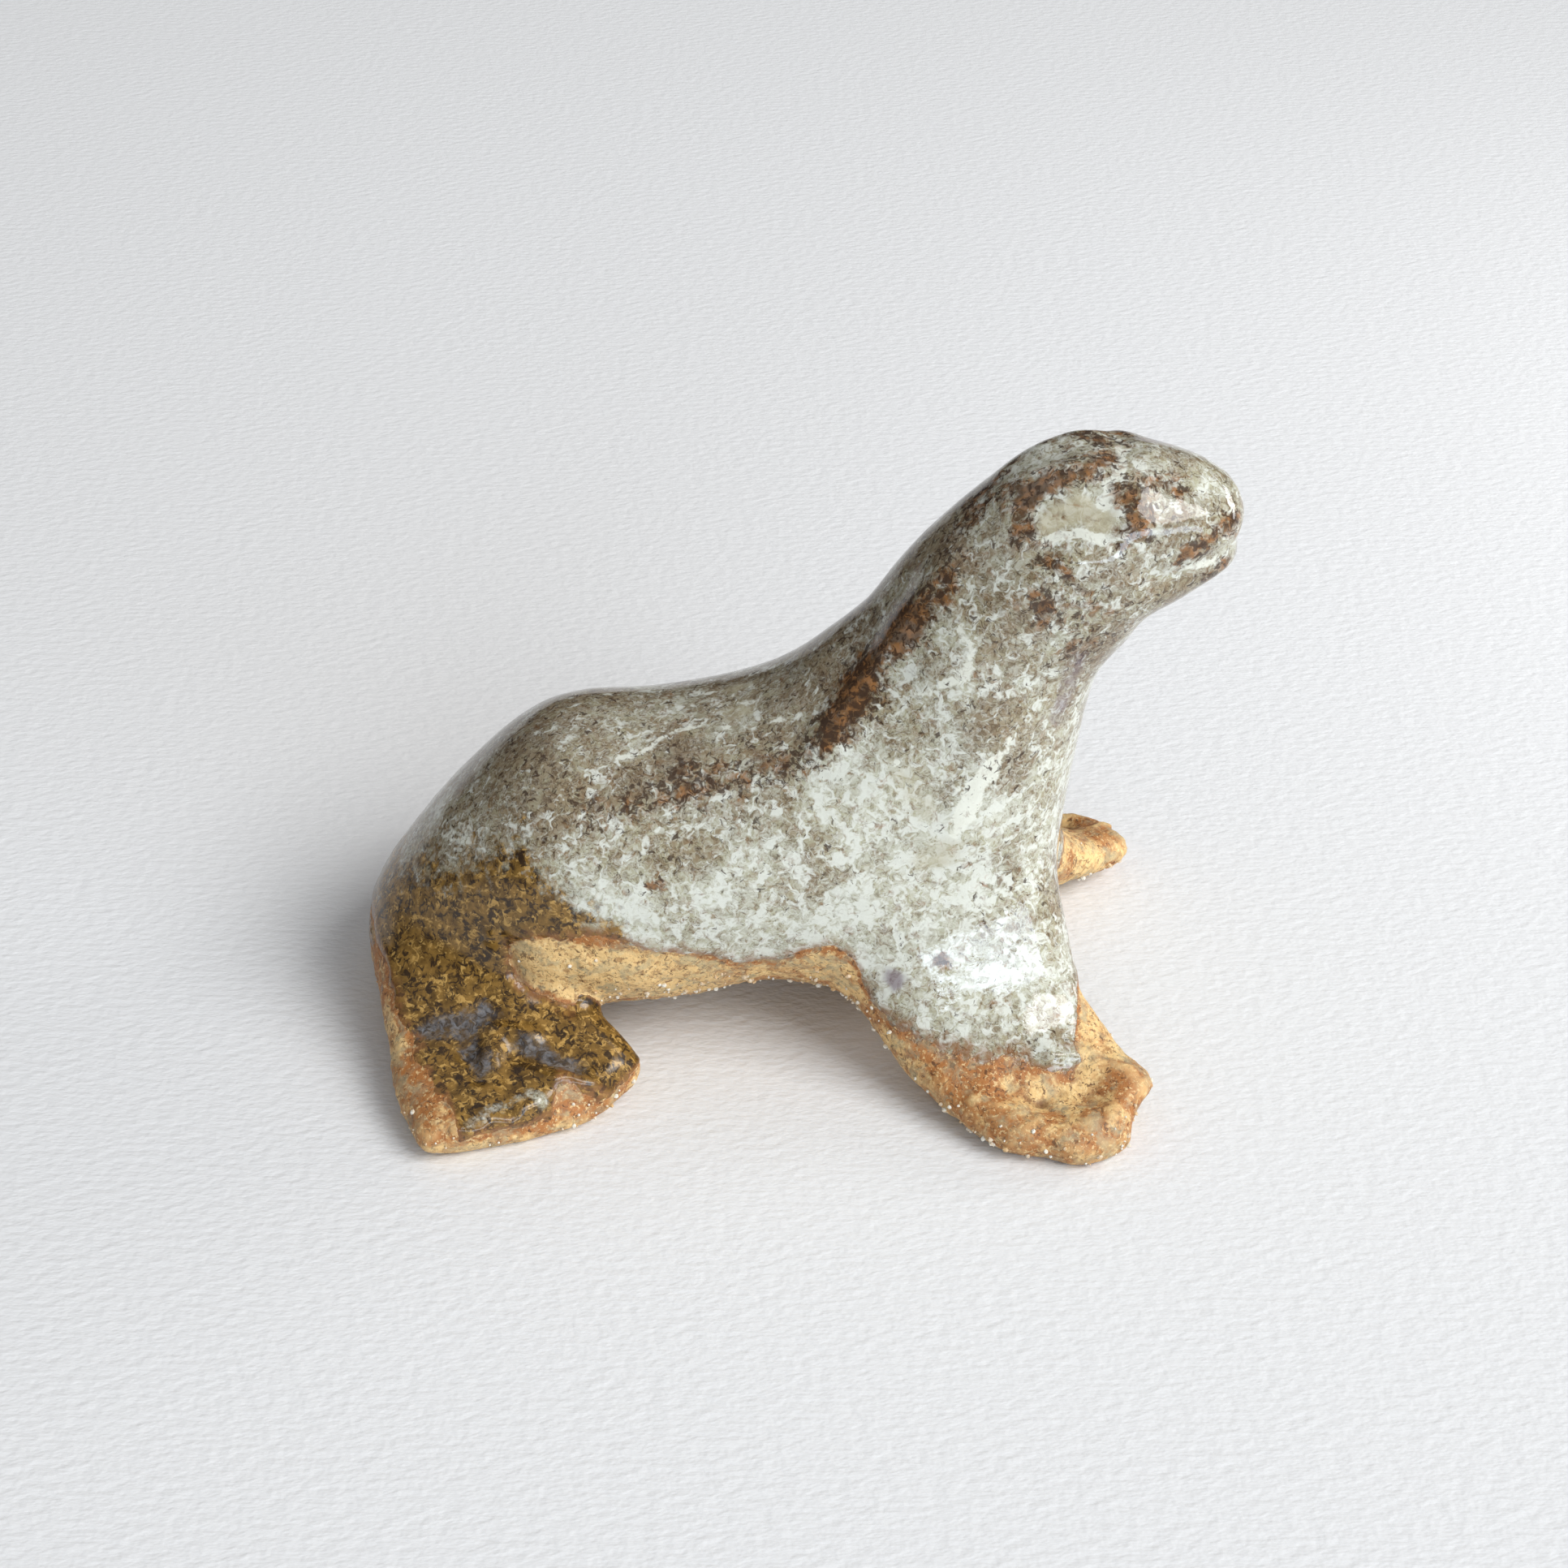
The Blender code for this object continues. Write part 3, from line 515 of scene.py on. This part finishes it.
def speckle_group():
    """Wriggling crystals: noise pulled out of place by a coarser noise.

    Blobs is 1 where noise + Amount passes the middle, over a band as wide as Softness. Threads
    is 1 where the noise lies within a narrow band about the middle, and fades beside it.
    """
    group = bpy.data.node_groups.new("speckle", "ShaderNodeTree")
    group.interface.new_socket(name="Vector", in_out="INPUT", socket_type="NodeSocketVector")
    for name, default in (("Scale", 1.0), ("Amount", 0.0), ("Softness", 0.05)):
        socket = group.interface.new_socket(name=name, in_out="INPUT", socket_type="NodeSocketFloat")
        socket.default_value = default
    for name in ("Blobs", "Threads"):
        group.interface.new_socket(name=name, in_out="OUTPUT", socket_type="NodeSocketFloat")
    nodes = Nodes(group)
    inside = nodes.add("NodeGroupInput").outputs
    warp = nodes.add("ShaderNodeTexNoise", {
        "Vector": inside["Vector"], "Scale": WARP_SCALE, "Detail": 1.0})
    centred = nodes.moved(warp.outputs["Color"], (-0.5, -0.5, -0.5))
    pulled = nodes.add("ShaderNodeVectorMath", {
        0: centred, 1: (WARP, WARP, WARP), 2: inside["Vector"]}, operation="MULTIPLY_ADD")
    fine = nodes.noise(pulled.outputs[0], inside["Scale"], 3.0, 0.62, 0.6)
    level = nodes.math("ADD", fine, inside["Amount"])
    above = nodes.math("SUBTRACT", level, 0.5)
    share = nodes.math("DIVIDE", above, inside["Softness"])
    blobs = nodes.math("ADD", share, 0.5, clamp=True)
    off = nodes.math("ABSOLUTE", share)
    threads = nodes.math("SUBTRACT", 1.0, off, clamp=True)
    output = nodes.add("NodeGroupOutput")
    group.links.new(blobs, output.inputs["Blobs"])
    group.links.new(threads, output.inputs["Threads"])
    return group


SPECKLE = speckle_group()


def speckles(nodes, place, scale, amount, softness, output="Blobs"):
    """The mask of one speckle group with its own values."""
    node = nodes.add("ShaderNodeGroup", node_tree=SPECKLE)
    nodes.feed(node, {"Vector": place, "Scale": scale, "Amount": amount, "Softness": softness})
    return node.outputs[output]


CLAY_PALE = rgb(232, 194, 132)
CLAY_TOASTED = rgb(172, 112, 58)
CLAY_DARK_GRAIN = rgb(136, 86, 46)
CLAY_PALE_GRAIN = rgb(242, 214, 158)
CLAY_IRON = rgb(80, 46, 22)
CLAY_ASH = rgb(168, 158, 126)


def clay_group():
    """Bare stoneware: tan to orange by patches, with pale grit, dark iron specks and a rough face.

    The colour is tan mixed towards orange by Toast plus noise, then towards dark and pale grains
    where fine noise passes a level. Height is the sum of two fine noises.
    """
    group = bpy.data.node_groups.new("bare_clay", "ShaderNodeTree")
    group.interface.new_socket(name="Vector", in_out="INPUT", socket_type="NodeSocketVector")
    group.interface.new_socket(name="Toast", in_out="INPUT", socket_type="NodeSocketFloat")
    group.interface.new_socket(name="Color", in_out="OUTPUT", socket_type="NodeSocketColor")
    group.interface.new_socket(name="Height", in_out="OUTPUT", socket_type="NodeSocketFloat")
    nodes = Nodes(group)
    inside = nodes.add("NodeGroupInput").outputs
    place = inside["Vector"]
    patches = nodes.noise(place, 0.7, 3.0, 0.6, 0.4)
    toast = nodes.ramp(nodes.math("ADD", patches, inside["Toast"]), 0.4, 0.64)
    dark_grain = nodes.ramp(nodes.noise(place, 2.4, 4.0, 0.7), 0.5, 0.62)
    pale_grain = nodes.ramp(nodes.noise(place, 3.6, 3.0, 0.7), 0.46, 0.36)
    iron = speckles(nodes, place, 3.4, -0.1, 0.08)
    ash = speckles(nodes, place, 0.8, -0.07, 0.16)
    colour = nodes.mix(toast, CLAY_PALE, CLAY_TOASTED)
    colour = nodes.lay(colour, dark_grain, 0.6, CLAY_DARK_GRAIN)
    colour = nodes.lay(colour, pale_grain, 0.6, CLAY_PALE_GRAIN)
    colour = nodes.lay(colour, iron, 0.8, CLAY_IRON)
    colour = nodes.lay(colour, ash, 0.6, CLAY_ASH)
    coarse = nodes.noise(place, 2.0, 4.0, 0.65)
    fine = nodes.noise(place, 7.0, 3.0, 0.6)
    height = nodes.math("ADD", coarse, nodes.scaled(fine, 0.4))
    output = nodes.add("NodeGroupOutput")
    group.links.new(colour, output.inputs["Color"])
    group.links.new(height, output.inputs["Height"])
    return group


BARE_CLAY = clay_group()


def clay_look(nodes, place, toast):
    """Colour and height of bare clay, more or less toasted."""
    node = nodes.add("ShaderNodeGroup", node_tree=BARE_CLAY)
    nodes.feed(node, {"Vector": place, "Toast": toast})
    return node.outputs["Color"], node.outputs["Height"]


TAUPE = rgb(136, 126, 103)
SAGE = rgb(173, 172, 152)
STRAW = rgb(180, 174, 140)
SOFT_BROWN = rgb(132, 108, 82)
THREAD_BROWN = rgb(90, 70, 48)
CRYSTAL_GREY = rgb(200, 200, 186)
CRYSTAL_THREAD = rgb(211, 212, 199)
CRYSTAL_WHITE = rgb(217, 219, 209)
CREAM_PALE = rgb(206, 198, 168)
CREAM_DEEP = rgb(150, 140, 112)
# The white of the glaze's veins, used also for the painted highlight down the chest.
VEIN_AND_HIGHLIGHT_WHITE = rgb(224, 225, 212)
RUST_DARK = rgb(82, 56, 32)
RUST_BRIGHT = rgb(146, 98, 52)
SPECK_DARK = rgb(58, 40, 27)
VIOLET_STAIN = rgb(118, 102, 112)
OLIVE_DARK = rgb(84, 60, 22)
OLIVE_BRIGHT = rgb(138, 104, 48)
OLIVE_FLECK = rgb(198, 158, 88)
OLIVE_FRECKLE = rgb(40, 26, 14)
FURROW_DARK = rgb(50, 42, 38)
STEEL_DARK = rgb(58, 53, 50)
STEEL_PALE = rgb(128, 129, 133)
THIN_BROWN = rgb(138, 92, 54)
# Painted shade for the bare clay's pits, and painted light for its bulges.
PAINTED_PIT_SHADE = rgb(116, 78, 44)
PAINTED_BULGE_LIGHT = rgb(232, 196, 136)
CLAY_ROUGHNESS = 0.62
GLAZE_ROUGHNESS = 0.03
OLIVE_ROUGHNESS = 0.16
BUMP_HEIGHT = 0.12 * MM


def stoneware():
    """The skin's material: bare clay below the dip line, and above it the glaze."""
    material = bpy.data.materials.new("speckled_stoneware")
    material.use_nodes = True
    nodes = Nodes(material.node_tree)
    shader = material.node_tree.nodes["Principled BSDF"]
    place = nodes.mm()
    moved = nodes.moved(place, (31.0, 17.0, 5.0))
    thick = nodes.attribute("thick")
    rust = nodes.attribute("rust")
    cream = nodes.attribute("cream")
    vein_and_highlight = nodes.attribute("vein_and_highlight")
    steel = nodes.attribute("steel")
    hollow = nodes.attribute("hollow")

    # Ground of the glaze, from taupe where it is thin to grey green where it is thick.
    body = nodes.math("ADD", thick, nodes.noise(place, 1.1, 4.0, 0.7))
    colour = nodes.mix(nodes.ramp(body, 0.2, 1.0), TAUPE, SAGE)
    cloud = nodes.ramp(nodes.noise(place, 0.35, 2.0), 0.35, 0.65)
    colour = nodes.lay(colour, cloud, 0.4, STRAW)

    # Warm brown blobs and threads, more of them where the coat is thin.
    brown = speckles(nodes, place, 1.6, nodes.scaled(thick, -0.16), 0.13)
    colour = nodes.lay(colour, brown, 0.5, SOFT_BROWN)
    wires = speckles(nodes, moved, 1.5, 0.03, 0.06, "Threads")
    wire_share = nodes.scaled(thick, -0.4, 0.72, True)
    colour = nodes.mix(nodes.math("MULTIPLY", wires, wire_share), colour, THREAD_BROWN)

    # White crystals, more of them where the coat is thick.
    white = speckles(nodes, moved, 1.25, nodes.scaled(thick, 0.17, -0.08), 0.1)
    white_fine = speckles(nodes, place, 2.4, nodes.scaled(thick, 0.13, -0.06), 0.1)
    white_wires = speckles(nodes, place, 1.3, 0.0, 0.05, "Threads")
    white_share = nodes.scaled(thick, 0.5, 0.35, True)
    colour = nodes.lay(colour, white_fine, 0.5, CRYSTAL_GREY)
    colour = nodes.mix(nodes.math("MULTIPLY", white_wires, white_share), colour, CRYSTAL_THREAD)
    colour = nodes.lay(colour, white, 0.82, CRYSTAL_WHITE)

    # Cream pools in the hollows, white veins in the creases, and a painted highlight streak down the
    # chest in the same white.
    pool_edge = nodes.scaled(nodes.noise(place, 1.3, 3.0), 0.7, -0.35)
    pool = nodes.ramp(nodes.math("ADD", cream, pool_edge), 0.2, 0.95)
    pool_tone = nodes.mix(nodes.noise(moved, 1.4, 3.0), CREAM_PALE, CREAM_DEEP)
    colour = nodes.lay(colour, pool, 0.68, pool_tone)
    # The white of the veins, which down the chest is a painted highlight.
    vein_and_highlight_share = speckles(nodes, place, 1.2, nodes.scaled(vein_and_highlight, 0.42, -0.33), 0.13)
    colour = nodes.lay(colour, vein_and_highlight_share, 0.85, VEIN_AND_HIGHLIGHT_WHITE)

    # Rust where it broke on the ridges, the darkest specks, and a few violet stains.
    rust_mask = speckles(nodes, place, 1.6, nodes.scaled(rust, 0.26, -0.22), 0.26)
    rust_cloud = nodes.ramp(nodes.noise(moved, 1.6, 3.0), 0.38, 0.68)
    colour = nodes.lay(colour, rust_mask, 0.9, nodes.mix(rust_cloud, RUST_DARK, RUST_BRIGHT))
    rust_specks = nodes.scaled(nodes.math("MINIMUM", rust, 0.8), 0.14)
    dark_amount = nodes.math("ADD", nodes.scaled(thick, -0.1, -0.135), rust_specks)
    dark_amount = nodes.math("ADD", dark_amount, nodes.scaled(pool, -0.12))
    dark = speckles(nodes, moved, 2.3, dark_amount, 0.08)
    colour = nodes.lay(colour, dark, 0.85, SPECK_DARK)
    stain = nodes.math("ADD", nodes.attribute("violet"), nodes.noise(moved, 1.3, 3.0))
    colour = nodes.lay(colour, nodes.ramp(stain, 0.75, 1.6), 0.75, VIOLET_STAIN)

    # The olive wash over the rump, with its flecks and dark freckles.
    olive_noise = nodes.scaled(nodes.noise(place, 1.2, 4.0, 0.65), 8.0, -4.0)
    olive = nodes.ramp(nodes.math("ADD", nodes.attribute("olive"), olive_noise), -1.2, 1.2)
    wash_cloud = nodes.ramp(nodes.noise(place, 1.3, 3.0, 0.6), 0.3, 0.7)
    wash = nodes.mix(wash_cloud, OLIVE_DARK, OLIVE_BRIGHT)
    wash = nodes.lay(wash, speckles(nodes, moved, 2.1, -0.08, 0.1), 0.75, OLIVE_FLECK)
    wash = nodes.lay(wash, speckles(nodes, place, 2.1, -0.05, 0.08), 0.9, OLIVE_FRECKLE)
    colour = nodes.mix(olive, colour, wash)

    # The blue grey bloom in the fans' furrows, over a darker ground.
    colour = nodes.lay(colour, nodes.ramp(steel, 0.05, 0.8), 0.6, FURROW_DARK)
    steel_noise = nodes.scaled(nodes.noise(moved, 1.5, 4.0, 0.65), 2.0, -0.4)
    steel_share = nodes.ramp(nodes.math("ADD", steel, steel_noise), 0.9, 1.7)
    steel_tone = nodes.mix(speckles(nodes, moved, 2.3, 0.0, 0.2), STEEL_DARK, STEEL_PALE)
    colour = nodes.lay(colour, steel_share, 0.7, steel_tone)

    # The edge, ragged on a smaller scale than the skin's faces, and the thin brown glaze there.
    ragged = nodes.scaled(nodes.noise(place, 1.8, 3.0, 0.6), 0.8, -0.4)
    edge = nodes.math("ADD", nodes.attribute("coat_edge"), ragged)
    covered = nodes.ramp(edge, -0.08, 0.08)
    thin_breaks = nodes.ramp(nodes.noise(place, 2.2, 3.0), 0.3, 0.6)
    thin = nodes.math("MULTIPLY", nodes.ramp(edge, 1.1, 0.0), thin_breaks)
    colour = nodes.lay(colour, thin, 0.8, THIN_BROWN)

    # Bare clay, orange along the coat's edge, with painted brown shade in its pits and painted light
    # where it stands out.
    flashing = nodes.scaled(nodes.ramp(edge, -0.9, 0.0), 0.3, -0.02)
    toast = nodes.math("ADD", flashing, nodes.attribute("toast"))
    clay_colour, clay_height = clay_look(nodes, place, toast)
    # Painted shade: brown laid into the hollows of the bare clay. Painted light: pale laid on where
    # it bulges out.
    clay_colour = nodes.lay(clay_colour, nodes.ramp(hollow, 0.02, 0.14), 0.75, PAINTED_PIT_SHADE)
    clay_colour = nodes.lay(clay_colour, nodes.ramp(hollow, -0.02, -0.12), 0.55, PAINTED_BULGE_LIGHT)
    nodes.feed(shader, {"Base Color": nodes.mix(covered, clay_colour, colour)})

    # The glaze is glossy and hardly uneven, the clay matte and rough.
    glaze_roughness = nodes.scaled(olive, OLIVE_ROUGHNESS, GLAZE_ROUGHNESS)
    roughness = nodes.between(covered, CLAY_ROUGHNESS, glaze_roughness)
    glaze_height = nodes.scaled(nodes.noise(place, 1.5, 3.0, 0.6), 0.22)
    height = nodes.between(covered, clay_height, glaze_height)
    bump = nodes.add("ShaderNodeBump", {
        "Strength": 0.6, "Distance": BUMP_HEIGHT, "Height": height})
    nodes.feed(shader, {"Roughness": roughness, "Normal": bump.outputs["Normal"]})
    shader.inputs["IOR"].default_value = 1.5
    return material


skin.materials.append(stoneware())
skin.shade_smooth()
figurine = bpy.data.objects.new("glazed_figurine", skin)
bpy.context.scene.collection.objects.link(figurine)
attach(figurine, "root")
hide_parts("seal_figurine")

# GRIT
# Coarse quartz sand from the bench and the kiln shelf. It stuck to the bare clay where that was
# handled and set down: along the lower edges of the belly, the arms and the fans.
GRAIN_COUNT = 420
GRAIN_PROUD = 0.25
GRAIN_RADII = (0.07 * MM, 0.2 * MM)
GOLDEN = (1 + 5 ** 0.5) / 2
QUARTZ_CLEAR = rgb(226, 222, 208)
QUARTZ_STAINED = rgb(204, 168, 118)


def grain_shape():
    """Corners and faces of one icosahedron of radius 1, its corners on three golden rectangles."""
    corners = []
    for first in (-1, 1):
        for second in (-GOLDEN, GOLDEN):
            corners += [(0, first, second), (first, second, 0), (second, 0, first)]
    corners = np.array(corners) / np.hypot(1, GOLDEN)
    gap = np.linalg.norm(corners[:, None] - corners[None], axis=2)
    beside = (gap > 0.1) & (gap < 1.2)
    faces = [(i, j, k) for i in range(12) for j in range(i + 1, 12) for k in range(j + 1, 12)
             if beside[i, j] and beside[j, k] and beside[i, k]]
    faces = np.array(faces)
    first, second, third = (corners[faces[:, side]] for side in range(3))
    inward = np.sum(np.cross(second - first, third - first) * first, axis=1) < 0
    faces[inward] = faces[inward][:, ::-1]
    return corners, faces


def grit():
    """Grains on the skin. Each is the one shape, stretched along its axes, turned and half sunk."""
    random = np.random.default_rng(41)
    corners, faces = grain_shape()
    points = points_of(skin)
    normals = normals_of(skin, points)
    height = points[:, 2] / MM

    # Grains stick to bare clay that faces sideways, most often near the floor and low on the belly.
    flank_of_clay = (coat_edge < -0.35) & (normals[:, 2] < 0.75) & (normals[:, 2] > -0.8)
    liking = flank_of_clay * (0.12 + np.exp(-((height - 1.0) / 1.2) ** 2)
                              + 1.6 * np.exp(-((height - 5.0) / 1.6) ** 2) * (np.abs(x + 3) < 9))
    liking *= height > 0.3

    chosen = random.choice(len(points), GRAIN_COUNT, replace=False, p=liking / liking.sum())
    low_radius, high_radius = GRAIN_RADII
    radii = low_radius + (high_radius - low_radius) * random.random(GRAIN_COUNT) ** 2.5
    stretch = random.uniform(0.75, 1.25, (GRAIN_COUNT, 1, 3))
    turns, _ = np.linalg.qr(random.normal(size=(GRAIN_COUNT, 3, 3)))
    turns *= np.sign(np.linalg.det(turns))[:, None, None]
    shapes = np.einsum("nij,nkj->nki", turns, corners * stretch) * radii[:, None, None]
    centres = points[chosen] + normals[chosen] * radii[:, None] * GRAIN_PROUD
    grains = np.clip(centres[:, None] + shapes, low, high).reshape(-1, 3)
    first_corners = len(corners) * np.arange(GRAIN_COUNT)
    all_faces = (faces[None] + first_corners[:, None, None]).reshape(-1, 3)
    mesh = bpy.data.meshes.new("quartz_grit")
    mesh.from_pydata(grains.tolist(), [], all_faces.tolist())
    return mesh


def quartz():
    """Milky quartz, some grains stained by the clay."""
    material = bpy.data.materials.new("milky_quartz")
    material.use_nodes = True
    nodes = Nodes(material.node_tree)
    shader = material.node_tree.nodes["Principled BSDF"]
    place = nodes.mm()
    stain = nodes.ramp(nodes.noise(place, 0.9, 2.0), 0.4, 0.65)
    colour = nodes.mix(stain, QUARTZ_CLEAR, QUARTZ_STAINED)
    nodes.feed(shader, {"Base Color": colour, "Roughness": 0.35})
    return material


grit_mesh = grit()
grit_mesh.materials.append(quartz())
grains = bpy.data.objects.new("quartz_grit", grit_mesh)
bpy.context.scene.collection.objects.link(grains)
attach(grains, "root")

# FLOOR AND LIGHT
# Textured watercolour paper of a cool white. One window stands to the right and above, a lower
# one in front, and behind the figurine the room is dim, which darkens the glaze's upper rims.
FLOOR_HALF = 3000 * MM
PAPER_WHITE = (0.80, 0.80, 0.80, 1)
PAPER_TOOTH = 0.2 * MM


def paper():
    """Pale matte paper with a faint laid grain."""
    material = bpy.data.materials.new("pale_floor")
    material.use_nodes = True
    nodes = Nodes(material.node_tree)
    shader = material.node_tree.nodes["Principled BSDF"]
    tooth = nodes.noise(nodes.stretched(nodes.mm(), (1.0, 1.8, 1.0)), 1.0, 2.0, 0.55)
    bump = nodes.add("ShaderNodeBump", {
        "Strength": 0.5, "Distance": PAPER_TOOTH, "Height": tooth})
    nodes.feed(shader, {
        "Base Color": PAPER_WHITE, "Roughness": 0.9, "Specular IOR Level": 0.2,
        "Normal": bump.outputs["Normal"]})
    return material


floor_mesh = bpy.data.meshes.new("floor")
floor_corners = [(FLOOR_HALF * across, FLOOR_HALF * along, 0)
                 for across, along in ((-1, -1), (1, -1), (1, 1), (-1, 1))]
floor_mesh.from_pydata(floor_corners, [], [(0, 1, 2, 3)])
floor_mesh.materials.append(paper())
floor = bpy.data.objects.new("floor", floor_mesh)
bpy.context.scene.collection.objects.link(floor)


def window(name, place, size, power, colour):
    """A soft light facing the middle of the figurine, its place and size in mm, power in watts."""
    data = bpy.data.lights.new(name, "AREA")
    data.shape = "RECTANGLE"
    data.size, data.size_y = (side * MM for side in size)
    data.energy = power
    data.color = colour
    lamp = bpy.data.objects.new(name, data)
    bpy.context.scene.collection.objects.link(lamp)
    lamp.location = Vector(place) * MM
    lamp.rotation_euler = (CAMERA_AIM - lamp.location).to_track_quat("-Z", "Y").to_euler()
    return lamp


window("window", (1016, -600, 1184), (1120, 832), 23.0, (0.99, 0.99, 0.985))
window("front_window", (704, -1320, 464), (1760, 240), 10.3, (0.72, 0.85, 1.0))
window("side_lamp", (165, 60, 66), (60, 60), 0.07, (1.0, 1.0, 1.0))

ROOM_LEFT = (0.14, 0.14, 0.145, 1)
ROOM_RIGHT = (0.70, 0.675, 0.65, 1)
ROOM_BEHIND = (0.05, 0.05, 0.055, 1)
ROOM_ABOVE = (0.36, 0.365, 0.375, 1)

world = bpy.data.worlds.new("room")
bpy.context.scene.world = world
world.use_nodes = True
room = Nodes(world.node_tree)
direction = room.add("ShaderNodeTexCoord").outputs["Generated"]
parts = room.add("ShaderNodeSeparateXYZ", {"Vector": direction}).outputs
rightward = room.ramp(parts["X"], -0.6, 0.6)
behind = room.ramp(parts["Y"], -0.2, 0.45)
above = room.ramp(parts["Z"], 0.2, 0.9)
tone = room.mix(rightward, ROOM_LEFT, ROOM_RIGHT)
tone = room.mix(behind, tone, ROOM_BEHIND)
tone = room.mix(above, tone, ROOM_ABOVE)
room.feed(world.node_tree.nodes["Background"], {"Color": tone})
bpy.context.scene.view_settings.view_transform = "Standard"
